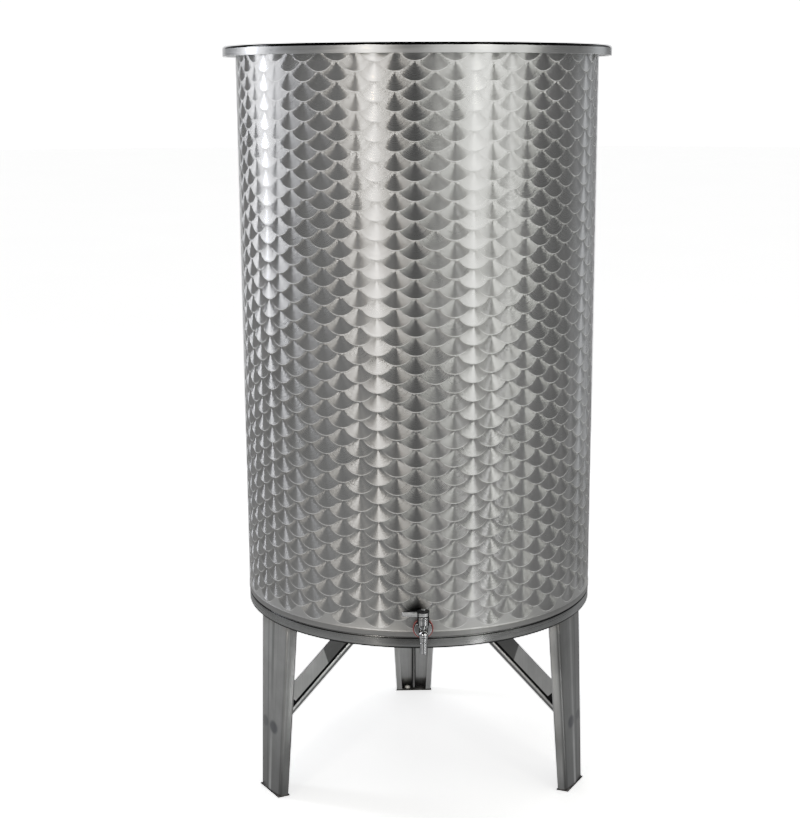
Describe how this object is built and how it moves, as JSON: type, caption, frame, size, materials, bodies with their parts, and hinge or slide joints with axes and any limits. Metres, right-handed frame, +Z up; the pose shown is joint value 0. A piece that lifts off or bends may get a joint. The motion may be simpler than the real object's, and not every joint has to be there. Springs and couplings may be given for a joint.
{
  "type": "floating lid wine tank",
  "caption": "Open-topped stainless drum on welded channel legs with slanting braces, a rolled rim, a lever tap low on the front and a floating lid with an air tube inside.",
  "frame": {"origin": "middle of the outline on the floor under the tank", "axes": "+Z up, -Y the front with the tap, +X to the right seen from the front"},
  "size_m": [0.6814, 0.7031, 1.33],
  "materials": {
    "engine_turned_steel": "engine-turned discs in staggered rows",
    "brushed_steel": "satin sheet",
    "leg_steel": "cold-rolled satin sheet, folded",
    "chrome": "polished plating",
    "black_plastic": "satin moulding",
    "pad_rubber": "matte",
    "red_gasket": "matte",
    "tube_rubber": "matte food-grade rubber"
  },
  "bodies": {
    "tank": {"shell": "engine_turned_steel", "top_rim": "brushed_steel", "base_band": "brushed_steel", "bottom_plate": "brushed_steel", "leg_left": "leg_steel", "leg_right": "leg_steel", "leg_back": "leg_steel", "brace_left": "leg_steel", "brace_right": "leg_steel", "brace_back": "leg_steel", "foot_pad_left": "pad_rubber", "foot_pad_right": "pad_rubber", "foot_pad_back": "pad_rubber", "foot_screw_left": "chrome", "foot_screw_right": "chrome", "foot_screw_back": "chrome", "tap_gasket": "red_gasket", "tap_washer": "red_gasket", "tap_flange": "chrome", "tap_nut": "brushed_steel", "tap_body": "chrome", "tap_bonnet": "chrome", "tap_spout": "chrome", "lid_floor": "brushed_steel", "lid_wall": "brushed_steel", "lid_tube": "tube_rubber", "air_valve": "chrome", "breather_body": "brushed_steel", "breather_cap": "black_plastic", "lid_handle_front": "brushed_steel", "lid_handle_back": "brushed_steel"},
    "lever": {"tap_stem": "chrome", "tap_lever": "chrome", "tap_cap": "black_plastic", "tap_screw": "chrome"}
  },
  "joints": [
    {"name": "tap_turn", "type": "hinge", "parent": "tank", "child": "lever", "pos_m": [-0.0059, -0.3273, 0.39], "axis": [0, 0, 1], "range_deg": [0, 90]}
  ]
}
